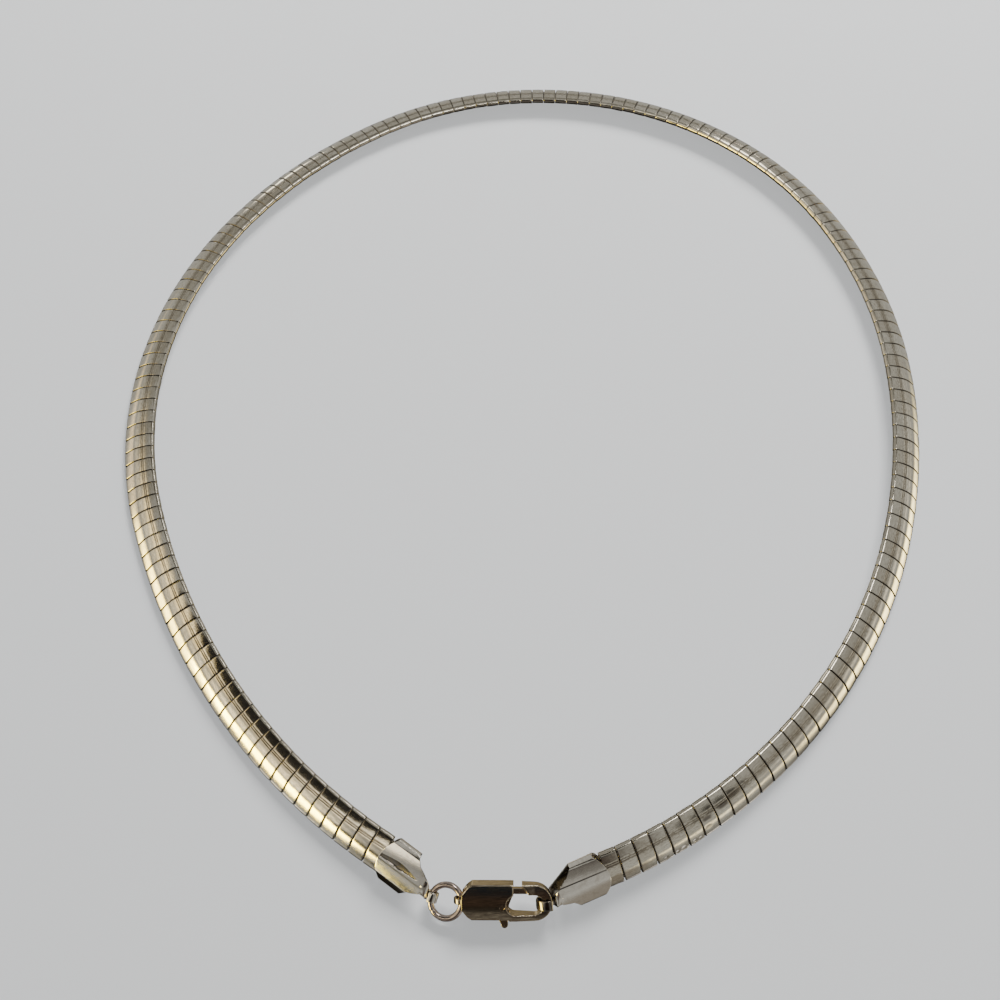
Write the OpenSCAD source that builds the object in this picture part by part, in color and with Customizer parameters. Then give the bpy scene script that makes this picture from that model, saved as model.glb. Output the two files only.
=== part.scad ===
// Omega chain necklace: domed plates crimped over a woven band, closed with a lobster clasp.
// It lies on a table on its outer edge, so every plate leans with its face outward and up.

/* [Chain] */
// Length of one plate and the gap after it, along the middle of the band
pitch = 2.256; // [2.24:0.002:2.27]
// Gap between two plates at the middle of the band
plate_gap = 0.22; // [0.2:0.01:0.3]
// Width of the band across its rolled edges
band_w = 5.1; // [5:0.05:5.2]
// Thickness of the band from its back to the crease
band_h = 1.55; // [1.5:0.05:1.6]
// Radius of the rolled edges
rim_r = 0.5; // [0.48:0.01:0.52]
// Slope of each flank where the two meet in the crease
crease_slope = 8; // [6:1:9]
// Thickness of the plate metal
plate_t = 0.25; // [0.2:0.01:0.26]
// Width of the gap between the two folded lips on the back
back_gap = 2.7; // [2.4:0.1:3]

/* [Woven core] */
// Width of the woven band inside the plates
core_w = 4; // [3.8:0.05:4.05]
// Thickness of the woven band at its edges
core_edge_h = 0.28; // [0.24:0.01:0.28]
// Thickness of the woven band at its middle
core_mid_h = 0.6; // [0.4:0.05:0.75]
// Height of the woven band above the back of the plates
core_lift = 0.37; // [0.36:0.01:0.38]

/* [End caps] */
// Thickness of the cap metal
cap_t = 0.22; // [0.18:0.01:0.24]
// Space between the rolled edges of the band and the cap round them
cap_gap = 0.13; // [0.12:0.01:0.15]
// Height of the cap's roof over the back of the band
cap_h = 1.88; // [1.86:0.01:1.95]
// Length of the cap's side walls, measured from its front
cap_wall_len = 4.3; // [4:0.1:4.6]
// Length of the cap from its front to the end of its neck
cap_len = 6.6; // [6.4:0.1:6.8]
// Width of the neck strip
neck_w = 1.2; // [1:0.1:1.3]
// Thickness of the neck strip and of the loop it is curled into
strip_t = 0.25; // [0.22:0.01:0.3]

/* [Jump ring] */
// Outer diameter of the jump ring
ring_d = 4.65; // [4.6:0.05:4.7]
// Diameter of its wire
ring_wire = 0.75; // [0.7:0.05:0.8]

/* [Clasp] */
// Length of the clasp from the end of its body to the end of its hook
clasp_len = 11; // [10.9:0.05:11.1]
// Width of the clasp body
clasp_w = 4.1; // [4:0.1:4.2]
// Thickness of the clasp body
clasp_t = 2.4; // [2.3:0.05:2.5]
// Thickness of the hook
hook_t = 1.5; // [1.4:0.1:1.6]
// Thickness of the lever
lever_t = 0.88; // [0.8:0.01:0.9]
// Radius of the pin that the lever turns on
pin_r = 0.4; // [0.35:0.01:0.4]

/* [Hidden] */
$fn = 48;
eps = 0.01;

// How the band runs
plates_per_arc = 14;
// Middle of the band where the first plate starts, and the direction it leaves in
start_xy = [-20.91, -64.13];
start_heading = 145.9;
start_tilt = 27;
// One row for each arc of 14 plates, clockwise: [turn of each plate, tilt of the band at the arc's end]
arcs = [
    [-1.46, 22.5],
    [-1.28, 15.5],
    [-2.04, 17],
    [-1.98, 18],
    [-1.72, 18],
    [-2.36, 20],
    [-2.28, 22],
    [-2.30, 22.5],
    [-1.82, 25.5],
    [-1.42, 33.5],
    [-1.66, 40.5],
    [-1.74, 42.5]
];
plate_count = plates_per_arc * len(arcs);
// The caps are thicker than the band and hold its ends up by this much, over this many plates
cap_rim_r = rim_r + cap_gap + cap_t;
end_rise = cap_rim_r - rim_r;
rise_plates = 10;

function arc_of(i) = min(floor(i / plates_per_arc), len(arcs) - 1);
function turn_of(i) = arcs[arc_of(i)][0];
function tilt_before(k) = k == 0 ? start_tilt : arcs[k - 1][1];
function tilt_at(i) =
    let (k = arc_of(i), part = (i - k * plates_per_arc) / plates_per_arc)
    tilt_before(k) + (arcs[k][1] - tilt_before(k)) * part;
function ahead(angle) = [cos(angle), sin(angle)];
// A station is [point, heading], one at each joint between two plates
function next_station(s, i) = [s[0] + pitch * ahead(s[1] + turn_of(i) / 2), s[1] + turn_of(i)];
stations = [for (i = 0, s = [start_xy, start_heading]; i <= plate_count; s = next_station(s, i), i = i + 1) s];

// The band's section has x across the band, outward, and y up from its back
rim_x = band_w / 2 - rim_r;
crease_up = band_h - rim_r;
flank_r = (rim_x * rim_x + crease_up * crease_up - rim_r * rim_r)
    / (2 * (crease_up * cos(crease_slope) - rim_x * sin(crease_slope) - rim_r));
flank_x = flank_r * sin(crease_slope);
flank_y = band_h - flank_r * cos(crease_slope);
// Slope of the flank where it runs into the rolled edge
rim_slope = asin((rim_x + flank_x) / (flank_r - rim_r));

// Height of the back of the band's middle over the table, for a band that stands on its outer edge
function back_height(tilt) = rim_r + rim_x * sin(tilt) - rim_r * cos(tilt);
// How far the band is held up, as plates are counted from either end
function rise_at(i) = end_rise * max(0, 1 - min(i, plate_count - i) / rise_plates);
// A point of the section at a station
function on_band(p, heading, tilt, rise, across, up) =
    let (out = across * cos(tilt) + up * sin(tilt))
    [p[0] - out * sin(heading), p[1] + out * cos(heading),
        back_height(tilt) + rise - across * sin(tilt) + up * cos(tilt)];

// Where the caps sit: [point, heading towards the neck, tilt, side of the outer edge, neck's shift outward]
cap_setback = 0.5;
left_end = stations[0];
right_end = stations[plate_count];
left_cap = [left_end[0] + cap_setback * ahead(left_end[1]), -37.5, start_tilt, -1, 0];
right_cap = [right_end[0] - cap_setback * ahead(right_end[1]), -160.5, arcs[len(arcs) - 1][1], 1, 0.35];
// Outline of the cap, seen from above, from its front at 0
cap_half_w = rim_x + cap_rim_r;
cap_slope = 6;
cap_corner_y = 1.24;
cap_front_r = 4;
shoulder_len = 0.9;
shoulder_drop = 1.1;
neck_start = 6.5;
cap_back_gap = 2.2;
// A tapering groove is pressed along the inner side of the crease
groove = [0.35, 5.1];
groove_y = 0.08;
groove_w = 0.75;
groove_depth = 0.1;
// The roof of the cap is two arcs, like the band's
cap_flank_r = (cap_half_w * cap_half_w + (cap_h - cap_corner_y) * (cap_h - cap_corner_y))
    / (2 * ((cap_h - cap_corner_y) * cos(cap_slope) - cap_half_w * sin(cap_slope)));
// How far the core goes into each cap
core_tail = 3;

// The clasp's place: [middle of its tail end], heading, and how far its inner edge is rolled up
clasp_xy = [-11.73, -70];
clasp_heading = -3.4;
clasp_roll = 21;
// Corner cut off the tail end
tail_cut = [1.2, 1.15];
tail_slot_len = 0.65;
tail_slot_h = 1.24;
eye_x = -0.08;
eye_r = 0.93;
eye_hole_r = 0.6;
eye_w = 1;
// Right edge of the two cheeks, and the round end of the hook
cheek_end = 6.3;
hook_end_r = 2.1;
hook_y = -0.1;
clasp_z = (hook_end_r - hook_y) * sin(clasp_roll) + clasp_t / 2 * cos(clasp_roll);
hook_start = 5.75;
hook_root = 6.9;
// The opening of the hook, a slot with round ends
mouth_r = 1.15;
mouth_y = -0.35;
mouth_x = [6.55, 8.75];
mouth_top = mouth_y + mouth_r;
// The lever turns about the pin
pivot = [4.9, -0.6];
pivot_boss_r = 0.85;
pin_clearance = 0.05;
pin_seat = 0.02;
gate_r = 3.4;
gate_clearance = 0.12;
gate_top = 1.5;
thumb_w = 1.2;
thumb_end = [4.95, -3.1];
cavity_h = 1.1;

// Jump ring: centre, direction it is pitched up in, and its two slopes
ring_at = [-13.7, -70.07, 1.6];
ring_pitch = -9;
ring_roll = 16;
// Middle of the wire at an angle round the ring
function ring_point(angle, r) =
    let (up = sin(angle) * sin(ring_roll))
    ring_at + r * [cos(angle) * cos(ring_pitch) + up * sin(ring_pitch), sin(angle) * cos(ring_roll),
        up * cos(ring_pitch) - cos(angle) * sin(ring_pitch)];
// Loops that the necks are curled into: [centre, heading away from the cap, lean of the axis, inner radius]
left_curl = [ring_point(158, 1.89), -22, 15, 0.56];
curl_start = 190;
curl_sweep = 290;
right_curl = [clasp_point([10.37, -0.33, 0]), -179.5, -21, 1.1];

// A point of the clasp, given in its own frame
function clasp_point(p) =
    let (y = p[1] * cos(clasp_roll) - p[2] * sin(clasp_roll), z = p[1] * sin(clasp_roll) + p[2] * cos(clasp_roll))
    [clasp_xy[0] + p[0] * cos(clasp_heading) - y * sin(clasp_heading),
        clasp_xy[1] + p[0] * sin(clasp_heading) + y * cos(clasp_heading), clasp_z + z];

// Puts a section drawn across the band upright on the band, running along it
module along(len) {
    rotate([90, 0, 90]) linear_extrude(height = len, center = true) children();
}

module band_frame(p, heading, tilt, rise) {
    translate([p[0], p[1], back_height(tilt) + rise]) rotate([0, 0, heading]) rotate([-tilt, 0, 0]) children();
}

// Solid outline of the band, or of the space inside its metal when inset is the metal's thickness
module band_outline(inset) {
    tangent = [rim_x + rim_r * sin(rim_slope), rim_r + rim_r * cos(rim_slope)];
    intersection() {
        translate([-flank_x, flank_y]) circle(r = flank_r - inset, $fn = 96);
        translate([flank_x, flank_y]) circle(r = flank_r - inset, $fn = 96);
        polygon([[-rim_x, rim_r], [rim_x, rim_r], tangent, [tangent[0], band_h], [-tangent[0], band_h],
            [-tangent[0], tangent[1]]]);
    }
    for (side = [-1, 1]) translate([side * rim_x, rim_r]) circle(r = rim_r - inset);
    translate([-rim_x, inset]) square([2 * rim_x, rim_r - inset + eps]);
}

module plate_section() {
    difference() {
        band_outline(0);
        band_outline(plate_t);
        translate([-back_gap / 2, -eps]) square([back_gap, plate_t + 2 * eps]);
    }
}

module plate() {
    along(pitch - plate_gap) plate_section();
}

module plates() {
    color("#b9b1a0")
    for (i = [0 : plate_count - 1]) {
        middle = (stations[i][0] + stations[i + 1][0]) / 2;
        band_frame(middle, stations[i][1] + turn_of(i) / 2, tilt_at(i + 0.5), rise_at(i + 0.5)) plate();
    }
}

// The woven band is swept through the joints between the plates, and on into the caps
module core() {
    half = core_w / 2;
    ring = [
        [-half, core_lift],
        [half, core_lift],
        [half, core_lift + core_edge_h],
        [0, core_lift + core_mid_h],
        [-half, core_lift + core_edge_h]
    ];
    tails = [
        [left_end[0] - core_tail * ahead(left_end[1]), left_end[1], start_tilt, end_rise],
        [right_end[0] + core_tail * ahead(right_end[1]), right_end[1], arcs[len(arcs) - 1][1], end_rise]
    ];
    frames = concat(
        [tails[0]],
        [for (i = [0 : plate_count]) [stations[i][0], stations[i][1], tilt_at(i), rise_at(i)]],
        [tails[1]]
    );
    n = len(ring);
    last = len(frames) - 1;
    points = [for (f = frames) for (q = ring) on_band(f[0], f[1], f[2], f[3], q[0], q[1])];
    sides = [for (k = [0 : last - 1]) for (j = [0 : n - 1])
        let (a = k * n + j, b = k * n + (j + 1) % n) [a, b, b + n, a + n]];
    color("#8d8676")
    polyhedron(points, concat([[for (j = [n - 1 : -1 : 0]) j]], sides, [[for (j = [0 : n - 1]) last * n + j]]));
}

// Section of a cap, solid or inset by the metal's thickness
module cap_outline(inset) {
    roof_x = cap_flank_r * sin(cap_slope);
    roof_y = cap_h - cap_flank_r * cos(cap_slope);
    half = cap_half_w - inset;
    intersection() {
        translate([-roof_x, roof_y]) circle(r = cap_flank_r - inset, $fn = 96);
        translate([roof_x, roof_y]) circle(r = cap_flank_r - inset, $fn = 96);
        translate([-half, rim_r]) square([2 * half, cap_h]);
    }
    for (side = [-1, 1]) translate([side * rim_x, rim_r]) circle(r = cap_rim_r - inset);
    translate([-rim_x, rim_r - cap_rim_r + inset]) square([2 * rim_x, cap_rim_r - inset + eps]);
}

// Outline of a cap seen from above its face: a bowed front, straight sides, shoulders and a neck
module cap_plan(neck_shift) {
    intersection() {
        translate([cap_front_r, 0]) circle(r = cap_front_r, $fn = 96);
        polygon([
            [-eps, -cap_half_w - eps],
            [cap_wall_len, -cap_half_w - eps],
            [cap_wall_len + shoulder_len, -cap_half_w + shoulder_drop],
            [cap_wall_len + shoulder_len, cap_half_w - shoulder_drop],
            [cap_wall_len, cap_half_w + eps],
            [-eps, cap_half_w + eps]
        ]);
    }
    shoulder_y = cap_half_w - shoulder_drop;
    difference() {
        translate([cap_wall_len + shoulder_len - eps, -shoulder_y])
            square([neck_start - cap_wall_len - shoulder_len, 2 * shoulder_y]);
        for (side = [-1, 1]) {
            fillet = shoulder_y - neck_w / 2 - side * neck_shift;
            translate([neck_start, side * shoulder_y]) circle(r = fillet);
        }
    }
    translate([cap_wall_len, neck_shift - neck_w / 2]) square([cap_len - cap_wall_len, neck_w]);
}

// In this frame x runs to the neck, y outward and z up from the back of the band
module cap_frame(cap) {
    translate([cap[0][0], cap[0][1], back_height(cap[2]) + end_rise])
        rotate([0, 0, cap[1]]) rotate([-cap[2] * cap[3], 0, 0]) mirror([0, cap[3] < 0 ? 1 : 0, 0]) children();
}

module curl_frame(curl) {
    translate(curl[0]) rotate([0, 0, curl[1]]) rotate([curl[2], 0, 0]) children();
}

// The strip's end curled round a wire or bar, about the frame's y axis
module curl(inner_r) {
    rotate([90, 0, 0]) rotate([0, 0, curl_start])
        rotate_extrude(angle = curl_sweep) translate([inner_r, -neck_w / 2]) square([strip_t, neck_w]);
}

module cap(place, curl_place) {
    slab = 0.3;
    inside = 0.03;
    cap_frame(place)
    intersection() {
        translate([cap_len / 2, 0, 0]) along(cap_len) difference() {
            cap_outline(0);
            cap_outline(cap_t);
            translate([-cap_back_gap / 2, -1]) square([cap_back_gap, 1 + rim_r - cap_rim_r + cap_t + eps]);
        }
        difference() {
            translate([0, 0, -1]) linear_extrude(height = cap_h + 2) cap_plan(place[4]);
            translate([0, 0, cap_h - groove_depth]) linear_extrude(height = 1)
                polygon([[groove[0], -groove_y], [groove[1], -groove_y], [groove[0], -groove_y - groove_w]]);
        }
    }
    hull() {
        cap_frame(place)
            translate([cap_len - slab, place[4] - neck_w / 2 + inside, cap_h - cap_t - 2 * inside])
                cube([slab, neck_w - 2 * inside, strip_t]);
        curl_frame(curl_place) rotate([0, 180 - curl_start, 0])
            translate([-curl_place[3] - strip_t + inside, -neck_w / 2 + inside, -slab / 2])
                cube([strip_t - 2 * inside, neck_w - 2 * inside, slab]);
    }
    curl_frame(curl_place) curl(curl_place[3]);
}

module cap_left() {
    color("#c4bba9") cap(left_cap, left_curl);
}

module cap_right() {
    color("#b3aa9a") cap(right_cap, right_curl);
}

module jump_ring() {
    color("#9c9488")
    translate(ring_at) rotate([ring_roll, ring_pitch, 0])
        rotate_extrude() translate([(ring_d - ring_wire) / 2, 0]) circle(d = ring_wire, $fn = 24);
}

module clasp_frame() {
    translate([clasp_xy[0], clasp_xy[1], clasp_z]) rotate([0, 0, clasp_heading]) rotate([clasp_roll, 0, 0]) children();
}

module slab(h) {
    linear_extrude(height = h, center = true) children();
}

module mouth_plan() {
    for (x = mouth_x) translate([x, mouth_y]) circle(r = mouth_r);
    translate([mouth_x[0], mouth_y - mouth_r]) square([mouth_x[1] - mouth_x[0], 2 * mouth_r]);
}

module body_plan() {
    half = clasp_w / 2;
    difference() {
        polygon([
            [0, -half + tail_cut[1]],
            [tail_cut[0], -half],
            [cheek_end, -half],
            [cheek_end, half],
            [tail_cut[0], half],
            [0, half - tail_cut[1]]
        ]);
        mouth_plan();
    }
}

module hook_plan() {
    end_x = clasp_len - hook_end_r;
    difference() {
        union() {
            translate([end_x, hook_y]) circle(r = hook_end_r);
            translate([hook_start, hook_y - hook_end_r]) square([end_x - hook_start, 2 * hook_end_r]);
        }
        mouth_plan();
        // The gate closes this stretch
        intersection() {
            translate(pivot) circle(r = gate_r + gate_clearance);
            translate([hook_start - 1, mouth_top - 0.2]) square([4, 4]);
        }
        translate([hook_start - eps, mouth_y]) square([cheek_end - hook_start + 0.4, 4]);
    }
}

module cavity_plan() {
    polygon([[2.8, -3], [hook_start, -3], [hook_start, -1.3], [7.2, -1.3], [7.2, 1.75], [5.2, 1.75],
        [3.95, 0.5], [2.8, -0.9]]);
}

module clasp_body() {
    color("#5d4f45")
    clasp_frame() {
        difference() {
            union() {
                difference() {
                    slab(clasp_t) body_plan();
                    translate([-1, -clasp_w, -tail_slot_h / 2]) cube([1 + tail_slot_len, 2 * clasp_w, tail_slot_h]);
                }
                slab(hook_t) hook_plan();
                intersection() {
                    slab(clasp_t) hook_plan();
                    translate([0, -clasp_w, -clasp_t]) cube([hook_root, 2 * clasp_w, 2 * clasp_t]);
                }
                translate([eye_x, 0, 0]) rotate([90, 0, 0]) cylinder(r = eye_r, h = eye_w, center = true);
            }
            translate([eye_x, 0, 0]) rotate([90, 0, 0]) cylinder(r = eye_hole_r, h = 2 * eye_w, center = true);
            slab(cavity_h) cavity_plan();
            translate([pivot[0], pivot[1], -clasp_t]) cylinder(r = pin_r + pin_seat, h = 2 * clasp_t);
        }
    }
}

module gate_plan() {
    intersection() {
        polygon([pivot + [-0.6, 0.6], [5.75, gate_top], [8.4, gate_top], [8.4, mouth_top + 0.04],
            [6.3, mouth_top + 0.04], pivot + [0.8, 0]]);
        translate(pivot) circle(r = gate_r);
    }
}

// The gate reaches from the pin to the hook, and the thumb piece stands out on the other side
module clasp_lever() {
    color("#a79a86")
    clasp_frame()
    difference() {
        union() {
            slab(lever_t) translate(pivot) circle(r = pivot_boss_r);
            slab(lever_t) gate_plan();
            slab(lever_t) translate([thumb_end[0] - thumb_w / 2, thumb_end[1]])
                square([thumb_w, pivot[1] - thumb_end[1]]);
            slab(lever_t) translate(thumb_end) circle(d = thumb_w);
        }
        translate([pivot[0], pivot[1], -clasp_t]) cylinder(r = pin_r + pin_clearance, h = 2 * clasp_t);
    }
}

module clasp_pin() {
    color("#8a8074")
    clasp_frame() translate([pivot[0], pivot[1], -clasp_t / 2]) cylinder(r = pin_r, h = clasp_t);
}

plates();
core();
cap_left();
cap_right();
jump_ring();
clasp_body();
clasp_lever();
clasp_pin();
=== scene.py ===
"""Looks of an omega chain necklace: domed plates over a woven band, end caps, jump ring and lobster clasp.

Sizes are in millimetres, as in the frame's source, until a mesh is made.
"""

from math import asin, copysign, cos, exp, hypot, pi, radians, sin, sqrt

import bmesh
import bpy
import numpy as np
from mathutils import Matrix, Vector


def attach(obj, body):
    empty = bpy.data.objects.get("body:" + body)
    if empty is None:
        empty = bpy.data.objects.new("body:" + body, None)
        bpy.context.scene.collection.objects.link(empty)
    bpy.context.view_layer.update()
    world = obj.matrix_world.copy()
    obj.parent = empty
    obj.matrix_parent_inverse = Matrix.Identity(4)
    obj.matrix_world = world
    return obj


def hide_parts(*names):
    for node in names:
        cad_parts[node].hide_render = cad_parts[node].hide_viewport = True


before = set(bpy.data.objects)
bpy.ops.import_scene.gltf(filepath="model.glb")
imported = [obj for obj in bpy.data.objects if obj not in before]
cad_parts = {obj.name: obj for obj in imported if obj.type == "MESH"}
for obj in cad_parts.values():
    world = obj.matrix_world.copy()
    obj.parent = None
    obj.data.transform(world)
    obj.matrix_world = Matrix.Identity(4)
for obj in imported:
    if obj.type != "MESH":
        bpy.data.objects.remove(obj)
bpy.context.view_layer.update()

MM = 0.001

# The band's section, the same as the frame's
PITCH = 2.256
BAND_W = 5.1
BAND_H = 1.55
RIM_R = 0.5
CREASE_SLOPE = radians(8)
PLATE_T = 0.25
BACK_GAP = 2.7
RIM_X = BAND_W / 2 - RIM_R
CREASE_UP = BAND_H - RIM_R
FLANK_R = (RIM_X**2 + CREASE_UP**2 - RIM_R**2) / (
    2 * (CREASE_UP * cos(CREASE_SLOPE) - RIM_X * sin(CREASE_SLOPE) - RIM_R)
)
FLANK_X = FLANK_R * sin(CREASE_SLOPE)
FLANK_Y = BAND_H - FLANK_R * cos(CREASE_SLOPE)
RIM_SLOPE = asin((RIM_X + FLANK_X) / (FLANK_R - RIM_R))
# Dents: plate from the left cap, place along and across from its middle (outward is positive), half length,
# half width and depth, in millimetres, and the soot in it
DENTS = [
    (159, 0.2, -1.0, 1.3, 0.45, 0.018, 0.75),
    (160, -0.2, -0.6, 1.3, 0.5, 0.03, 0.9),
    (161, 0.2, -0.4, 1.1, 0.45, 0.03, 0.9),
    (161, 0.4, 0.9, 0.8, 0.5, 0.035, 0.6),
    (162, 0.4, 1.9, 0.45, 0.35, 0.1, 0.3),
    (162, -0.5, 2.0, 0.4, 0.3, 0.09, 0.3),
    (163, -0.3, 1.95, 0.5, 0.35, 0.1, 0.3),
    (163, 0.6, 2.0, 0.35, 0.3, 0.09, 0.3),
    (164, 0.0, 1.95, 0.5, 0.3, 0.08, 0.3),
]
# Dirt in the joints: how far from a plate's middle, as a share of its length, and how much
JOINT_SOOT = [(0.46, 0.0), (0.47, 0.3), (0.49, 0.85), (0.5, 0.95)]
# Plates with painted shade under their inner rolled edge, for the shadowed floor that it mirrors: first and
# last, and how much
RIM_SHADE = [(26, 112, 0.75), (126, 139, 0.6), (153, 168, 0.6)]
# The dressed plates lie this much inside the frame's outer edge
PLATE_INSET = 0.03
# The flanks run into each other over this half width, as a round crown
CROWN_HALF = 0.9
# Two pressed lines run along each plate: how far inward of its middle, half their distance, their half width
# and their depth
CREASE_AT = 1.0
RIDGE_HALF = 0.12
CREASE_HALF = 0.05
CREASE_DEPTH = 0.02
# How many straight steps the crown, a flank and a rolled edge take, and how long the bend into a lip is
CROWN_STEPS = 4
FLANK_STEPS = 6
RIM_STEPS = 9
LIP_BEND = 0.3
# The plates' rounded ends reach a little into the gaps
SEEN_GAP = 0.15
# A plate's rounded end: places as shares of its length, and how far the surface falls away there; and how far
# its middle stands out
PLATE_ENDS = [(-0.5, 0.035), (-0.49, 0.012), (-0.47, 0.002), (-0.42, 0.0)]
PLATE_BELLY = 0.012
# Steps from the middle of a dented plate towards its ends
DENT_STEP = 0.07
DENT_STEPS = 5
# How far each plate may be turned about its own axes, in degrees
PLATE_SWAY = (0.3, 0.45, 0.2)
PLATE_SEED = 11
CORE_W = 4.0
CORE_LIFT = 0.37
CORE_EDGE_H = 0.28
CORE_MID_H = 0.6
CORE_TAIL = 3.0
CORE_STEPS = 8
STRAND_W = 0.34
STRAND_DEPTH = 0.08

# How the band runs: the turn of each plate and the tilt at the end of each arc of 14 plates, in degrees
PLATES_PER_ARC = 14
START_XY = (-20.91, -64.13)
START_HEADING = 145.9
START_TILT = 27.0
ARCS = [(-1.46, 22.5), (-1.28, 15.5), (-2.04, 17.0), (-1.98, 18.0), (-1.72, 18.0), (-2.36, 20.0)]
ARCS += [(-2.28, 22.0), (-2.30, 22.5), (-1.82, 25.5), (-1.42, 33.5), (-1.66, 40.5), (-1.74, 42.5)]
PLATE_COUNT = PLATES_PER_ARC * len(ARCS)

# The caps: metal, space to the band, and outline seen from above
CAP_T = 0.22
CAP_GAP = 0.13
CAP_H = 1.88
CAP_RIM_R = RIM_R + CAP_GAP + CAP_T
END_RISE = CAP_RIM_R - RIM_R
RISE_PLATES = 10
CAP_HALF_W = RIM_X + CAP_RIM_R
CAP_SLOPE = radians(6)
CAP_CORNER_Y = 1.24
CAP_FRONT_R = 4.0
CAP_WALL_LEN = 4.3
CAP_LEN = 6.6
CAP_SETBACK = 0.5
CAP_BACK_GAP = 2.2
# How far above the middle of their rolled edge the side walls end, and the steps from there to the folded lip
WALL_FOOT = 0.1
LIP_STEPS = 12
LIP_X = (RIM_X - 0.4, RIM_X - 0.6)
SHOULDER_LEN = 0.9
SHOULDER_DROP = 1.1
NECK_START = 6.5
NECK_W = 1.2
STRIP_T = 0.25
# How boxy the strip's section is, across it and through it: 1 is round and 0 square
STRIP_ROUND = (0.35, 0.6)
# The pressed groove: where it starts and ends, its middle line, half its width and the slope of its floor
GROOVE_X = (0.35, 5.75)
GROOVE_LEAD = 0.03
GROOVE_MIDDLE = -0.36
GROOVE_BOW = 0.16
GROOVE_HALF = (0.26, 0.43)
GROOVE_WIDEST = 0.4
GROOVE_TAPER = 1.6
GROOVE_SIDE = 0.05
GROOVE_SLOPE = 0.24
# Painted shade lies where the groove is deeper than this
GROOVE_SHADED = 0.012
# Half the width of the cap's metal where it runs out into the neck, and how the strip that goes on narrows
ROOT_HALF = 1.1
ROOT_INSET = 0.06
ROOT_TAPER = 1.6
FILLET_TAPER = 0.8
# The strip starts this far inside the cap, a little proud of it, and loses the cap's dome at this share
STRIP_START = 0.35
STRIP_PROUD = 0.01
DOME_ENDS = 0.7
# How straight the neck runs on before it bends down to its loop, and how straight it enters the loop
LIP_REACH = 1.9
LOOP_REACH = 0.7
# The cap's top falls a little towards its neck
CAP_DIP = 0.05
# The line pressed along the right cap: half its width and its depth
CREST_LINE = 0.07
CREST_DEPTH = 0.04
# The caps' crown is rounded over this half width
CAP_CROWN_HALF = 0.35
CAP_EDGE_R = 0.05
# Steps along a cap, and the spacing of its points across its inner side, with the groove, and its outer side
CAP_STEPS = 88
CAP_SPACING = (0.045, 0.09)
NECK_STEPS = 10
CURL_STEPS = 40
CURL_START = 190.0
CURL_SWEEP = 290.0
# The painted shade on a loop starts at this share of the neck
LOOP_SHADE_FROM = 0.6
# Each cap's heading, and its slanted facets at the inner and outer edge: width, fall and rounding of corners
LEFT_HEADING = -37.5
LEFT_EDGES = ((0.5, 0.4, 0.3), (1.0, 0.7, 0.14))
RIGHT_HEADING = -160.5
RIGHT_EDGES = ((0.28, 0.2, 0.14), (0.24, 0.2, 0.14))
# Painted shade in each cap's groove, in its pressed line and on its loop
LEFT_SHADE = (0.9, 0.0, 0.3)
RIGHT_SHADE = (0.0, 0.5, 0.95)
# How far each neck lies to the side, and its loop's inner radius, heading and lean, and place: an angle and
# radius on the ring for the left one, a point in the clasp's frame for the right
LEFT_SHIFT = 0.0
LEFT_LOOP_R = 0.56
LEFT_LOOP_LIE = (radians(-22), radians(15))
LEFT_LOOP_AT = (158, 1.89)
RIGHT_SHIFT = 0.35
RIGHT_LOOP_R = 1.1
RIGHT_LOOP_LIE = (radians(-179.5), radians(-21))
RIGHT_LOOP_AT = (10.37, -0.33, 0)
# The tab folded under the right cap's neck, in the cap's frame, and the painted shade on it, for the shadow
# under the neck
UNDER_TAB = [(4.2, -2.5), (4.93, -1.99), (6.17, -1.18), (7.4, -0.38), (7.59, 0.36), (7.3, 0.9), (4.2, 0.9)]
TAB_SHADE = 0.75

# The jump ring
RING_R = 1.95
RING_WIRE_R = 0.375
RING_AT = Vector((-13.7, -70.07, 1.6))
RING_PITCH = radians(-9)
RING_ROLL = radians(16)
# The cut where the wire's ends meet: place and half width in degrees, and depth as a share of the wire
RING_SEAM = 205.0
SEAM_HALF = 1.6
SEAM_DEPTH = 0.12

# The clasp
CLASP_LEN = 11.0
CLASP_W = 4.1
CLASP_T = 2.4
CLASP_XY = (-11.73, -70.0)
CLASP_HEADING = radians(-3.4)
CLASP_ROLL = radians(21)
HOOK_END_R = 2.1
HOOK_Y = -0.1
HOOK_T = 1.5
HOOK_START = 5.75
CLASP_Z = (HOOK_END_R - HOOK_Y) * sin(CLASP_ROLL) + CLASP_T / 2 * cos(CLASP_ROLL)
TAIL_CUT = (1.2, 1.15)
TAIL_SLOT_LEN = 0.65
TAIL_SLOT_H = 1.24
EYE_X = -0.08
EYE_R = 0.93
EYE_HOLE_R = 0.6
SEEN_EYE_W = 0.7
CHEEK_END = 6.3
MOUTH_R = 1.15
MOUTH_Y = -0.35
MOUTH_X = (6.55, 8.75)
MOUTH_TOP = MOUTH_Y + MOUTH_R
PIVOT = (4.9, -0.6)
PIVOT_BOSS_R = 0.85
PIN_R = 0.4
PIN_CLEARANCE = 0.05
# The rivet's seen radius, the room round it and how far it lies under the clasp's faces
SEEN_PIN_R = 0.27
SEEN_PIN_ROOM = 0.012
PIN_SUNK = 0.014
GATE_R = 3.4
GATE_CLEARANCE = 0.12
GATE_TOP = 1.5
LEVER_T = 0.88
THUMB_W = 1.2
THUMB_X = 4.95
# The thumb piece leans towards the hook and ends in a small round
THUMB_TIP = (5.2, -2.75)
THUMB_TIP_R = 0.42
THUMB_BEND_Y = -1.9
CAVITY_H = 1.1
CAVITY = [(2.8, -3), (5.75, -3), (5.75, -1.3), (7.2, -1.3), (7.2, 1.75), (5.2, 1.75)]
CAVITY += [(3.95, 0.5), (2.8, -0.9)]
# The clasp's faces fall away across their width by this share of its thickness
CLASP_CROWN = 0.1
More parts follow.
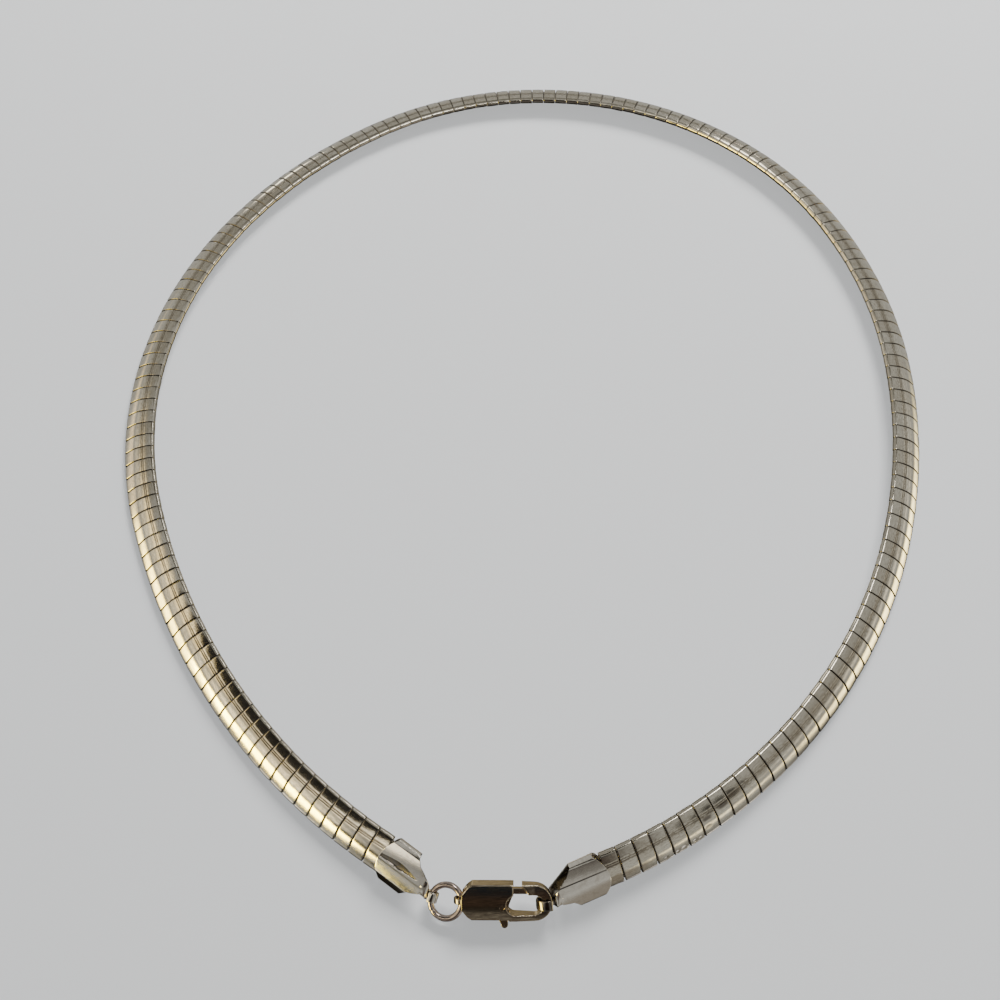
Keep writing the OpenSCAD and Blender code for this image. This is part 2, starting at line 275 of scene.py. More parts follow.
# Dirt at the clasp's eye: how much, how far along it ends and over what length it fades
EYE_SOOT = 0.85
EYE_SOOT_END = 0.35
EYE_SOOT_FADE = 0.3


# Where the band runs


def arc_of(i):
    return min(int(i // PLATES_PER_ARC), len(ARCS) - 1)


def tilt_at(i):
    k = arc_of(i)
    before = START_TILT if k == 0 else ARCS[k - 1][1]
    return before + (ARCS[k][1] - before) * (i - k * PLATES_PER_ARC) / PLATES_PER_ARC


def rise_at(i):
    return END_RISE * max(0.0, 1 - min(i, PLATE_COUNT - i) / RISE_PLATES)


def back_height(tilt):
    return RIM_R + RIM_X * sin(tilt) - RIM_R * cos(tilt)


def band_stations():
    """Point and heading at each joint between two plates."""
    x, y = START_XY
    heading = START_HEADING
    found = [(x, y, heading)]
    for i in range(PLATE_COUNT):
        turn = ARCS[arc_of(i)][0]
        a = radians(heading + turn / 2)
        x += PITCH * cos(a)
        y += PITCH * sin(a)
        heading += turn
        found.append((x, y, heading))
    return found


STATIONS = band_stations()


def spin(angle, axis):
    return Matrix.Rotation(angle, 4, axis)


def frame_at(point, heading, roll):
    """Matrix with its origin at the point, turned to a heading and rolled about it."""
    return Matrix.Translation(point) @ spin(heading, "Z") @ spin(roll, "X")


def band_frame(x, y, heading, tilt, rise):
    """Matrix with x along the band, y outward across it and z up from its back."""
    t = radians(tilt)
    return frame_at((x, y, back_height(t) + rise), radians(heading), -t)


# Meshes


def linked(name, mesh):
    """A new object in the scene that shows this mesh."""
    obj = bpy.data.objects.new(name, mesh)
    bpy.context.scene.collection.objects.link(obj)
    return obj


def new_object(name, points, faces, material, node, band=None, soot_and_shade=None):
    """A smooth mesh, from millimetres, that lies with the necklace and stands for a CAD node. band is each
    point's place along and across the band, in millimetres, and the last argument how much each point is
    darkened, by grime and by painted shade."""
    mesh = bpy.data.meshes.new(name)
    mesh.from_pydata([tuple(float(c) * MM for c in p) for p in points], [], faces)
    mesh.validate()
    mesh.shade_smooth()
    mesh.materials.append(material)
    obj = dress(linked(name, mesh), "necklace", node)
    if band:
        layer = mesh.uv_layers.new(name="band")
        for loop in mesh.loops:
            layer.data[loop.index].uv = band[loop.vertex_index]
    if soot_and_shade:
        mark(obj, "soot_and_shade", soot_and_shade)
    return obj


def dress(obj, body, node):
    """Puts a piece on its body, for its CAD node. The floor takes no light from it, only its shadow."""
    obj.visible_diffuse = False
    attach(obj, body)
    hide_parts(node)
    return obj


def grid_faces(rows, columns, first=0, closed=False):
    """Faces of a grid of points kept row by row; closed joins each row's end to its start."""
    last = columns if closed else columns - 1
    faces = []
    for r in range(rows - 1):
        for c in range(last):
            a = first + r * columns + c
            b = first + r * columns + (c + 1) % columns
            faces.append((a, b, b + columns, a + columns))
    return faces


def tube_faces(rows, columns):
    """Faces of a closed tube with flat ends."""
    ends = [tuple(range(columns))[::-1], tuple(range((rows - 1) * columns, rows * columns))]
    return grid_faces(rows, columns, closed=True) + ends


def sharp_by_angle(obj, degrees):
    """Edges steeper than this stay sharp."""
    mesh = obj.data
    work = bmesh.new()
    work.from_mesh(mesh)
    for edge in work.edges:
        if len(edge.link_faces) == 2 and edge.calc_face_angle() > radians(degrees):
            edge.smooth = False
    work.to_mesh(mesh)
    work.free()


def circle(count):
    """Cosine and sine of evenly spaced directions all round."""
    return [(cos(2 * pi * k / count), sin(2 * pi * k / count)) for k in range(count)]


def mark(obj, name, values):
    """A number for each point of a mesh, which its material reads by this name."""
    attribute = obj.data.attributes.new(name, "FLOAT", "POINT")
    attribute.data.foreach_set("value", np.array(values, np.float32))


def modify(obj, kind, **settings):
    made = obj.modifiers.new(kind.lower(), kind)
    for name, value in settings.items():
        setattr(made, name, value)


# Metal, with marks that follow the real piece


def set_inputs(node, settings):
    """Sets each named input of a node to its value, or links it to the socket given."""
    for name, value in settings.items():
        socket = node.inputs[name]
        if isinstance(value, bpy.types.NodeSocket):
            node.id_data.links.new(value, socket)
        elif isinstance(value, tuple) and socket.type == "RGBA":
            socket.default_value = (*value, 1)
        else:
            socket.default_value = value


def add_node(tree, kind, settings=None, output=0, **options):
    """An output of a new node with its options and inputs set. Nodes lie on the sheet in rows of twelve."""
    made = tree.nodes.new(f"ShaderNode{kind}")
    row, column = divmod(len(tree.nodes), 12)
    made.location = (200 * column, -300 * row)
    for name, value in options.items():
        setattr(made, name, value)
    set_inputs(made, settings or {})
    return made.outputs[output]


def noise_of(vector, scale, detail, roughness=0.55):
    settings = {"Vector": vector, "Scale": scale, "Detail": detail, "Roughness": roughness}
    return add_node(vector.id_data, "TexNoise", settings)


def stretched(source, scale):
    """The source's coordinates, stretched, so that a noise becomes streaks."""
    return add_node(source.id_data, "Mapping", {"Vector": source, "Scale": scale})


def ramp_of(factor, stops):
    """Colour ramp; each stop is (position, value or colour)."""
    made = add_node(factor.id_data, "ValToRGB", {"Fac": factor})
    ramp = made.node.color_ramp
    while len(ramp.elements) < len(stops):
        ramp.elements.new(0.5)
    for element, (position, value) in zip(ramp.elements, stops):
        colour = value if isinstance(value, tuple) else (value, value, value)
        element.position = position
        element.color = (*colour, 1)
    return made


def math_of(operation, a, b=0):
    return add_node(a.id_data, "Math", {0: a, 1: b}, operation=operation)


def times(a, b):
    return math_of("MULTIPLY", a, b)


def mixed(factor, a, b, blend="MIX"):
    tree = (factor if isinstance(a, tuple) else a).id_data
    return add_node(tree, "Mix", {0: factor, 6: a, 7: b}, 2, data_type="RGBA", blend_type=blend)


def split(vector):
    return add_node(vector.id_data, "SeparateXYZ", {"Vector": vector}).node.outputs


def attribute_of(tree, name):
    return add_node(tree, "Attribute", output="Fac", attribute_name=name)


def band_map(tree):
    """The map in millimetres, along the band and across it."""
    return add_node(tree, "UVMap", uv_map="band")


def relief_of(height, depth):
    """Surface relief; the depth is in millimetres."""
    return add_node(height.id_data, "Bump", {"Height": height, "Strength": 1.0, "Distance": depth * MM})


def new_material(name, settings):
    """A material, its nodes and its shader, with the shader's inputs set."""
    made = bpy.data.materials.new(name)
    made.use_nodes = True
    shader = made.node_tree.nodes["Principled BSDF"]
    set_inputs(shader, settings)
    return made, made.node_tree, shader


# Colour of the grime and painted shade that a point mark brings in, and colour of the grime along the plates'
# pressed lines
SOOT_AND_SHADE = (0.17, 0.15, 0.13)
GRIME = (0.20, 0.16, 0.11)


def metal(name, light, dark, roughness, streak, bump, across=None):
    """Worn metal. light and dark are its clean and tarnished colours, roughness its lowest and highest,
    streak how much the brush marks show, bump their depth in millimetres. With across, the marks follow the
    band's own map, and otherwise they run along X."""
    made, tree, shader = new_material(name, {"Metallic": 1.0})
    if across:
        place = band_map(tree)
        along_scale = (0.35, across, 1.0)
        unit = 1.0
    else:
        place = add_node(tree, "TexCoord", output="Object")
        along_scale = (0.12, 1.0, 1.0)
        unit = 1.0 / MM
    lines = noise_of(stretched(place, along_scale), 4.0 * unit, 5.0, 0.7)
    blots = noise_of(place, 0.9 * unit, 4.0, 0.6)
    specks = noise_of(place, 9.0 * unit, 2.0)
    tarnish = ramp_of(blots, [(0.42, 0.0), (0.72, 1.0)])
    pits = ramp_of(specks, [(0.66, 0.0), (0.74, 1.0)])
    drawn = ramp_of(lines, [(0.36, 0.0), (0.64, 1.0)])
    soil = math_of("MAXIMUM", times(tarnish, 0.6), times(drawn, streak))
    spotted = mixed(times(pits, 0.5), mixed(soil, light, dark), dark)
    # The point mark darkens the metal with grime, and with painted shade where a piece is given it
    stained_and_shaded = mixed(attribute_of(tree, "soot_and_shade"), spotted, SOOT_AND_SHADE)
    wear = {"Value": math_of("ADD", soil, pits), "To Min": roughness[0], "To Max": roughness[1]}
    rough = add_node(tree, "MapRange", wear)
    height = math_of("ADD", lines, times(blots, 1.5))
    set_inputs(shader, {"Base Color": stained_and_shaded, "Roughness": rough, "Normal": relief_of(height, bump)})
    return made


def run_across(outline):
    """How far each point of an outline lies from its start, along the outline."""
    across = [0.0]
    for a, b in zip(outline, outline[1:]):
        across.append(across[-1] + hypot(b[0] - a[0], b[1] - a[1]))
    return across


def place_across(x):
    """How far the point of a plate's top that lies at x is from its inner lip, along its outline."""
    outline = [point for point in plate_outline() if point[1] > RIM_R]
    skipped = run_across(plate_outline())[plate_outline().index(outline[0])]
    return skipped + float(np.interp(x, [point[0] for point in outline], run_across(outline)))


def plate_metal():
    """The plates' metal, with grime along the pressed lines and a tone of its own on each plate."""
    made = metal("plate_metal", (0.85, 0.81, 0.71), (0.44, 0.39, 0.30), (0.06, 0.18), 0.7, 0.0045, across=1.5)
    tree = made.node_tree
    shader = tree.nodes["Principled BSDF"]
    clean = shader.inputs["Base Color"].links[0].from_socket
    where = band_map(tree)
    along, across = split(where)[:2]
    off = math_of("ABSOLUTE", math_of("SUBTRACT", across, place_across(-CREASE_AT)))
    line = math_of("ABSOLUTE", math_of("SUBTRACT", off, RIDGE_HALF))
    pressed = ramp_of(line, [(0.045, 1.0), (0.11, 0.0)])
    broken = noise_of(stretched(where, (0.7, 6.0, 1.0)), 1.4, 3.0)
    crease = times(pressed, ramp_of(broken, [(0.36, 0.25), (0.54, 0.8)]))
    near = ramp_of(off, [(0.1, 1.0), (0.75, 0.0)])
    mottle = noise_of(stretched(where, (0.8, 1.6, 1.0)), 3.2, 4.0, 0.65)
    grime = times(near, ramp_of(mottle, [(0.47, 0.0), (0.60, 0.75)]))
    # The band is cleaner towards its left end
    run = math_of("DIVIDE", along, PLATE_COUNT * PITCH)
    grime = times(grime, ramp_of(run, [(0.12, 0.3), (0.3, 1.0)]))
    soiled = mixed(math_of("MAXIMUM", crease, grime), clean, GRIME)
    tone = ramp_of(attribute_of(tree, "tone"), [(0.0, (0.86, 0.84, 0.81)), (1.0, 1.0)])
    set_inputs(shader, {"Base Color": mixed(1.0, soiled, tone, "MULTIPLY")})
    return made


def woven_metal():
    """Dull woven wire: two sets of slanted strands that pass over and under each other."""
    made, tree, shader = new_material("woven_metal", {"Metallic": 1.0, "Roughness": 0.42})
    along, across = split(band_map(tree))[:2]
    rounds, counts = [], []
    for slant in ("ADD", "SUBTRACT"):
        strand = math_of("DIVIDE", math_of(slant, along, across), STRAND_W)
        wave = math_of("SINE", times(strand, pi))
        rounds.append(math_of("ABSOLUTE", wave))
        counts.append(math_of("FLOOR", strand))
    over = math_of("FLOORED_MODULO", math_of("ADD", *counts), 2.0)
    height = mixed(over, *rounds)
    # The strands are painted darker where they dip beside and under each other, as shade between the wires
    colour = ramp_of(height, [(0.1, (0.10, 0.08, 0.06)), (0.8, (0.62, 0.57, 0.48))])
    set_inputs(shader, {"Base Color": colour, "Normal": relief_of(height, STRAND_DEPTH)})
    return made


# The plates


def flank(x):
    """Point of a plate's flank and the way it faces: (x, y, normal x, normal y)."""
    a = asin((abs(x) + FLANK_X) / FLANK_R)
    return x, FLANK_Y + FLANK_R * cos(a), copysign(sin(a), x), cos(a)


def crown(x):
    """The same for the round crown between the flanks."""
    edge, height, nx, ny = flank(CROWN_HALF)
    slope = nx / ny * x / edge
    lift = nx / ny / (2 * edge) * (edge**2 - x**2)
    return x, height + lift, slope / hypot(slope, 1), 1 / hypot(slope, 1)


def plate_outline():
    """Outer outline of a plate's section from one lip to the other: (x, y, normal x, normal y)."""
    half = [crown(CROWN_HALF * k / CROWN_STEPS) for k in range(CROWN_STEPS)]
    rim_start = RIM_X + RIM_R * sin(RIM_SLOPE)
    half += [flank(CROWN_HALF + (rim_start - CROWN_HALF) * k / FLANK_STEPS) for k in range(FLANK_STEPS + 1)]
    for k in range(1, RIM_STEPS + 1):
        a = RIM_SLOPE + (pi - RIM_SLOPE) * k / RIM_STEPS
        half.append((RIM_X + RIM_R * sin(a), RIM_R + RIM_R * cos(a), sin(a), cos(a)))
    half += [(x, 0.0, 0.0, -1.0) for x in (RIM_X - LIP_BEND, BACK_GAP / 2)]
    other = [(-x, y, -nx, ny) for x, y, nx, ny in half[:0:-1]]
    creases = []
    for line in (CREASE_AT + RIDGE_HALF, CREASE_AT - RIDGE_HALF):
        for x, depth in ((-line - CREASE_HALF, 0), (-line, CREASE_DEPTH), (-line + CREASE_HALF, 0)):
            x, y, nx, ny = flank(x) if abs(x) > CROWN_HALF else crown(x)
            creases.append((x, y - depth, nx, ny))
    low, high = creases[0][0], creases[-1][0]
    inner = [point for point in other if point[1] < RIM_R or point[0] < low]
    return inner + creases + [point for point in other if point[1] > RIM_R and point[0] > high] + half


def dent_at(i, along, off):
    """How deep the dents press a place of plate i, and how much grime lies there."""
    drop = soot_and_shade = 0.0
    for plate, at_along, at_off, half_along, half_off, depth, dirt_and_shade in DENTS:
        far = hypot(((i - plate) * PITCH + along - at_along) / half_along, (off - at_off) / half_off)
        if far < 1:
            share = (1 + cos(pi * far)) / 2
            drop += depth * share
            soot_and_shade = max(soot_and_shade, dirt_and_shade * min(2 * share, 1.0))
    return drop, soot_and_shade


def rim_shade(i, nx, ny):
    """Painted shade on the underside of plate i's inner rolled edge, where the surface faces (nx, ny)."""
    most = max((share for first, last, share in RIM_SHADE if first <= i <= last), default=0.0)
    return most * min(max(0.5 - ny, 0.0) / 0.5, 1.0) if nx < 0 else 0.0


def plates(material):
    """Every plate is its own bent strip, a little out of line with its neighbours."""
    outline = plate_outline()
    length = PITCH - SEEN_GAP
    far_ends = [(-share, fall) for share, fall in PLATE_ENDS[::-1]]
    near = range(-DENT_STEPS, DENT_STEPS + 1)
    bulge = [(DENT_STEP * k, -PLATE_BELLY * (1 - (k / (DENT_STEPS + 1)) ** 2)) for k in near]
    plain_cuts = PLATE_ENDS + [(0.0, -PLATE_BELLY)] + far_ends
    fine_cuts = PLATE_ENDS + bulge + far_ends
    dented = {dent[0] + k for dent in DENTS for k in (-1, 0, 1)}
    random = np.random.default_rng(PLATE_SEED)
    across = run_across(outline)
    crest_v = place_across(0.0)
    inset = Matrix.Translation((0, -PLATE_INSET, 0))
    middle = Matrix.Translation((0, 0, RIM_R))
    points, faces, marks, tones, soot_and_shade_values = [], [], [], [], []
    n = len(outline)
    for i in range(PLATE_COUNT):
        x, y, heading = ((a + b) / 2 for a, b in zip(STATIONS[i], STATIONS[i + 1]))
        base = band_frame(x, y, heading, tilt_at(i + 0.5), rise_at(i + 0.5))
        sway = [radians(v) for v in random.normal(0, PLATE_SWAY)]
        roll, pitch, yaw = (spin(angle, axis) for angle, axis in zip(sway, "XYZ"))
        jitter = inset @ middle @ roll @ pitch
        place = base @ jitter @ yaw @ middle.inverted()
        tone = random.uniform(0, 1)
        first = len(points)
        cuts = fine_cuts if i in dented else plain_cuts
        for share, fall in cuts:
            joint = float(np.interp(abs(share), *zip(*JOINT_SOOT)))
            for (x, y, nx, ny), v in zip(outline, across):
                dent, soot_and_shade = dent_at(i, share * length, v - crest_v) if i in dented else (0.0, 0.0)
                drop = fall + dent
                # Grime in dents and joints, and painted shade under the inner rolled edge
                soot_and_shade_values.append(max(soot_and_shade, rim_shade(i, nx, ny), joint))
                points.append(place @ Vector((share * length, x - nx * drop, y - ny * drop)))
                marks.append(((i + 0.5 + share) * PITCH, v))
        for share in (0.5, -0.5):
            for (x, y, nx, ny), v in zip(outline, across):
                points.append(place @ Vector((share * length, x - nx * PLATE_T, y - ny * PLATE_T)))
                marks.append(((i + 0.5 + share) * PITCH, v))
                soot_and_shade_values.append(0.0)
        rows = len(cuts) + 2
        faces += [face[::-1] for face in grid_faces(rows, n, first)]
        for c in range(n - 1):
            low = first + (rows - 1) * n + c
            faces.append((low, first + c, first + c + 1, low + 1)[::-1])
        for side in (0, n - 1):
            ring = [first + r * n + side for r in range(rows)]
            faces.append(ring if side else ring[::-1])
        sunk = min(0.0, min(point.z for point in points[first:]))
        for point in points[first:]:
            point.z -= sunk
        tones += [tone] * (len(points) - first)
    obj = new_object("plates_dressed", points, faces, material, "plates", marks, soot_and_shade_values)
    mark(obj, "tone", tones)
    sharp_by_angle(obj, 50)


# The woven band


def core(material):
    """The woven band: flat below and roofed above, with a tail into each cap."""
    half = CORE_W / 2
    places = [-half + CORE_W * k / CORE_STEPS for k in range(CORE_STEPS + 1)]
    section = [(x, CORE_LIFT) for x in places]
    for x in places[::-1]:
        section.append((x, CORE_LIFT + CORE_EDGE_H + (CORE_MID_H - CORE_EDGE_H) * (1 - abs(x) / half)))
    across = run_across(section)
    tail = CORE_TAIL / PITCH
    steps = [-tail] + [k / 2 for k in range(2 * PLATE_COUNT + 1)] + [PLATE_COUNT + tail]
    points, marks = [], []
    for s in steps:
        i = min(max(int(s), 0), PLATE_COUNT - 1)
        inside = min(max(s, 0.0), float(PLATE_COUNT))
        a, b = STATIONS[i], STATIONS[i + 1]
        part = s - i
        x, y, heading = (a[k] + (b[k] - a[k]) * part for k in range(3))
        place = band_frame(x, y, heading, tilt_at(inside), rise_at(inside))
        for (u, v), run in zip(section, across):
            points.append(place @ Vector((0, u, v)))
            marks.append((s * PITCH, run))
    faces = [face[::-1] for face in tube_faces(len(steps), len(section))]
    sharp_by_angle(new_object("core_dressed", points, faces, material, "core", marks), 50)


# The caps


def rounded(points, radii, steps=5):
    """The line with its corners rounded; a radius is how far from the corner the rounding starts."""
    made = [points[0]]
    for before, corner, after, r in zip(points, points[1:], points[2:], radii):
        if not r:
            made.append(corner)
            continue
        ends = []
        for other in (before, after):
            span = hypot(other[0] - corner[0], other[1] - corner[1])
            share = min(r / span, 0.5)
            ends.append([corner[k] + (other[k] - corner[k]) * share for k in (0, 1)])
        for k in range(steps + 1):
            t = k / steps
            near, bend, far = (1 - t) ** 2, 2 * t * (1 - t), t**2
            made.append(tuple(near * ends[0][j] + bend * corner[j] + far * ends[1][j] for j in (0, 1)))
    made.append(points[-1])
    return made


def roof(y):
    """Height of a cap's domed top, y from its middle, where its two sides run into each other."""
    flat = CAP_HALF_W**2 + (CAP_H - CAP_CORNER_Y) ** 2
    roof_r = flat / (2 * ((CAP_H - CAP_CORNER_Y) * cos(CAP_SLOPE) - CAP_HALF_W * sin(CAP_SLOPE)))
    middle_z = CAP_H - roof_r * cos(CAP_SLOPE)
    off = max(abs(y), CAP_CROWN_HALF) + roof_r * sin(CAP_SLOPE)
    height = sqrt(roof_r**2 - off**2)
    lift = off / height / (2 * CAP_CROWN_HALF) * max(CAP_CROWN_HALF**2 - y**2, 0.0)
    return middle_z + height + lift


def cap_side(cut, fall, roll, spacing):
    """Half of a cap's section, from the crest down one side to the folded lip: (y, z). cut is how wide the
    slanted facet at its edge is, fall how deep and roll how far its corners are rounded."""
    edge = CAP_HALF_W - cut
    count = int(edge / spacing)
    line = [(edge * k / count, roof(edge * k / count)) for k in range(count + 1)]
    line += [(CAP_HALF_W, roof(edge) - fall), (CAP_HALF_W, RIM_R + WALL_FOOT)]
    half = rounded(line, [0.0] * (count - 1) + [roll, roll])
    for k in range(LIP_STEPS + 1):
        a = pi / 2 * (1 + k / LIP_STEPS)
        half.append((RIM_X + CAP_RIM_R * sin(a), RIM_R + CAP_RIM_R * cos(a)))
    return half + [(x, RIM_R - CAP_RIM_R) for x in (*LIP_X, CAP_BACK_GAP / 2)]


def cap_outline(edges):
    """A cap's whole section from one folded lip to the other; each edge is (cut, fall, roll)."""
    inner, outer = (cap_side(*edge, spacing) for edge, spacing in zip(edges, CAP_SPACING))
    return [(-y, z) for y, z in inner[:0:-1]] + outer


def cap_end(y, z, shift):
    """How far the cap reaches along itself at a place of its section."""
    if z < RIM_R:
        return CAP_WALL_LEN
    shoulder = CAP_HALF_W - SHOULDER_DROP
    if abs(y - shift) <= ROOT_HALF:
        return CAP_LEN
    if abs(y) >= shoulder:
        return CAP_WALL_LEN + SHOULDER_LEN * (CAP_HALF_W - abs(y)) / SHOULDER_DROP
    side = 1 if y > 0 else -1
    fillet = shoulder - ROOT_HALF - side * shift
    reach = max(shoulder - abs(y), 0.0)
    start = CAP_WALL_LEN + SHOULDER_LEN
    return start + (NECK_START - start) * (reach / fillet) ** FILLET_TAPER


def groove_at(x, y):
    """Depth of the pressed groove: its floor slopes down to a steep side along the crest."""
    share = (x - GROOVE_X[0]) / (GROOVE_X[1] - GROOVE_X[0])
    if not -GROOVE_LEAD < share < 1:
        return 0.0
    share = max(share, 0.0)
    if share < GROOVE_WIDEST:
        half = GROOVE_HALF[0] + (GROOVE_HALF[1] - GROOVE_HALF[0]) * share / GROOVE_WIDEST
    else:
        half = GROOVE_HALF[1] * (1 - ((share - GROOVE_WIDEST) / (1 - GROOVE_WIDEST)) ** GROOVE_TAPER)
    middle = GROOVE_MIDDLE - GROOVE_BOW * sin(pi * share)
    inside = y - (middle - half)
    if not 0 < inside < 2 * half + GROOVE_SIDE:
        return 0.0
    steep = min((2 * half + GROOVE_SIDE - inside) / GROOVE_SIDE, 1.0)
    return GROOVE_SLOPE * min(inside, 2 * half) * steep


def cap_frame(station, heading, tilt, side):
    """Matrix with x towards the neck, y outward and z up from the band's back, at the band's end. side is
    -1 for the left cap and 1 for the right."""
    x, y, run = station
    back = side * CAP_SETBACK
    a = radians(run)
    t = radians(tilt)
    point = (x - back * cos(a), y - back * sin(a), back_height(t) + END_RISE)
    return frame_at(point, radians(heading), -t * side) @ Matrix.Diagonal((1, side, 1, 1))


def ring_point(degrees, r):
    a = radians(degrees)
    place = spin(RING_PITCH, "Y") @ spin(RING_ROLL, "X")
    return RING_AT + place @ Vector((r * cos(a), r * sin(a), 0))


CLASP_FRAME = frame_at((*CLASP_XY, CLASP_Z), CLASP_HEADING, CLASP_ROLL)


def ribbon(line, halves, shares, bow, half_t):
    """A strip with rounded edges along a line of centres, each with its directions and half width. bow is the
    fall of its surface at a share of its length and a place across it."""
    section = []
    for c, s in circle(24):
        u, v = (copysign(abs(value) ** power, value) for value, power in zip((c, s), STRIP_ROUND))
        section.append((u, half_t * v))
    points = []
    for centre, side, normal, half, share in zip(*line, halves, shares):
        for u, v in section:
            points.append(centre + side * (u * half) + normal * (v - bow(share, u * half)))
    return points, tube_faces(len(halves), len(section))


def neck_line(place, curl, inner_r, shift):
    """Centres, width directions and normals of the strip from the cap's neck round its loop."""
    r = inner_r + STRIP_T / 2
    height = CAP_H - STRIP_T / 2 + STRIP_PROUD
    before = CAP_LEN - STRIP_START
    start = place @ Vector((before, shift, height - CAP_DIP * before))
    lip = place @ Vector((CAP_LEN, shift, height - CAP_DIP * CAP_LEN))
    along = (lip - start).normalized()

    def on_loop(degrees):
        a = radians(degrees)
        return curl @ Vector((r * cos(a), 0, r * sin(a)))

    side_cap, side_loop = ((turn.to_3x3() @ Vector((0, 1, 0))).normalized() for turn in (place, curl))
    if side_cap.dot(side_loop) < 0:
        side_cap = -side_cap
    entry = on_loop(CURL_START)
    down = (on_loop(CURL_START + 1) - on_loop(CURL_START - 1)).normalized()
    span = (entry - lip).length
    centres = [start, lip]
    sides = [side_cap, side_cap]
    # A curve that leaves the cap along its top and enters the loop along its round
    for k in range(1, NECK_STEPS):
        t = k / NECK_STEPS
        h00, h10 = 2 * t**3 - 3 * t**2 + 1, t**3 - 2 * t**2 + t
        h01, h11 = -2 * t**3 + 3 * t**2, t**3 - t**2
        centre = lip * h00 + along * (h10 * span * LIP_REACH) + entry * h01
        centres.append(centre + down * (h11 * span * LOOP_REACH))
        sides.append((side_cap * (1 - t) + side_loop * t).normalized())
    for k in range(CURL_STEPS + 1):
        centres.append(on_loop(CURL_START + CURL_SWEEP * k / CURL_STEPS))
        sides.append(side_loop)
    normals = []
    for behind, ahead, side in zip(centres[:1] + centres, centres[1:] + centres[-1:], sides):
        normals.append(side.cross(ahead - behind).normalized())
    return centres, sides, normals


def cap(node, place, curl, inner_r, shift, edges, dirt_and_shade, material):
    """A pressed cap: a folded shell, a neck and a strip curled into a loop, with painted shade in its groove,
    in its pressed line and on its loop, by the three shares given. There is no groove or line where a share
    is 0."""
    groove_shade, crest_shade, loop_shade = dirt_and_shade
    outline = cap_outline(edges)
    points, marks, soot_and_shade_values = [], [], []
    for k in range(CAP_STEPS + 1):
        for y, z in outline:
            front = CAP_FRONT_R - sqrt(CAP_FRONT_R**2 - y**2)
            x = front + (cap_end(y, z, shift) - front) * k / CAP_STEPS
            on_top = z > CAP_CORNER_Y
            drop = groove_at(x, y) if on_top and groove_shade else 0.0
            dip = CAP_DIP * x * max(z - RIM_R, 0.0) / (CAP_H - RIM_R)
            # The pressed line is sunk a little and painted darker, as shade along the crease
            line = crest_shade and on_top and abs(y + CREASE_AT) < CREST_LINE
            points.append(place @ Vector((x, y, z - drop - dip - (CREST_DEPTH if line else 0.0))))
            marks.append((x, y))
            # Painted shade in the groove where it is deep, and along the pressed line
            soot_and_shade_values.append(crest_shade if line else groove_shade if drop > GROOVE_SHADED else 0.0)
    faces = grid_faces(CAP_STEPS + 1, len(outline))
    if place.to_3x3().determinant() > 0:
        faces = [face[::-1] for face in faces]
    shell = new_object(f"{node}_dressed", points, faces, material, node, marks, soot_and_shade_values)
    modify(shell, "SOLIDIFY", thickness=CAP_T * MM, offset=-1, use_even_offset=True)
    corner = radians(55)
    modify(shell, "BEVEL", width=CAP_EDGE_R * MM, segments=3, limit_method="ANGLE", angle_limit=corner)
    apply_modifiers(shell)
    line = neck_line(place, curl, inner_r, shift)
    shares = [min(max((k - 1) / NECK_STEPS, 0.0), 1.0) for k in range(len(line[0]))]
    half = NECK_W / 2
    halves = [half + (ROOT_HALF - ROOT_INSET - half) * (1 - t) ** ROOT_TAPER for t in shares]
    turned, raised = (
        1 if way[0].dot(place.to_3x3() @ axis) > 0 else -1
        for way, axis in zip(line[1:], (Vector((0, 1, 0)), Vector((0, 0, 1))))
    )

    def bow(t, y):
        return raised * (CAP_H - roof(shift + turned * y)) * max(1 - t / DOME_ENDS, 0.0)

    points, faces = ribbon(line, halves, shares, bow, STRIP_T / 2)
    around = len(points) // len(shares)
    marks = [(CAP_LEN + 0.2 * (k // around), 0.1 * (k % around)) for k in range(len(points))]
    soot_and_shade_values = []
    # Painted shade on the loop, growing towards its curled end
    for t in shares:
        soot_and_shade_values += [loop_shade * max(t - LOOP_SHADE_FROM, 0.0) / (1 - LOOP_SHADE_FROM)] * around
    new_object(f"{node}_dressed_loop", points, faces, material, node, marks, soot_and_shade_values)


def prism_faces(n):
    """Faces between an outline of n points and its copy above it."""
    sides = [(k, (k + 1) % n, n + (k + 1) % n, n + k) for k in range(n)]
    return [tuple(range(n))[::-1], tuple(range(n, 2 * n)), *sides]


def under_tab(place, material):
    """The metal folded under the right cap's neck."""
    low = RIM_R - CAP_RIM_R
    points = [place @ Vector((x, y, z)) for z in (low, low + CAP_T) for x, y in UNDER_TAB]
    faces = prism_faces(len(UNDER_TAB))
    # The whole tab is painted dark, as shade under the neck
    soot_and_shade_values = [TAB_SHADE] * len(points)
    tab = new_object("cap_right_tab", points, faces, material, "cap_right", UNDER_TAB * 2, soot_and_shade_values)
    sharp_by_angle(tab, 30)


def apply_modifiers(obj):
    """The evaluated mesh takes the place of the object's own."""
    graph = bpy.context.evaluated_depsgraph_get()
    made = bpy.data.meshes.new_from_object(obj.evaluated_get(graph))
    obj.modifiers.clear()
    obj.data = made
    made.shade_smooth()


# The jump ring


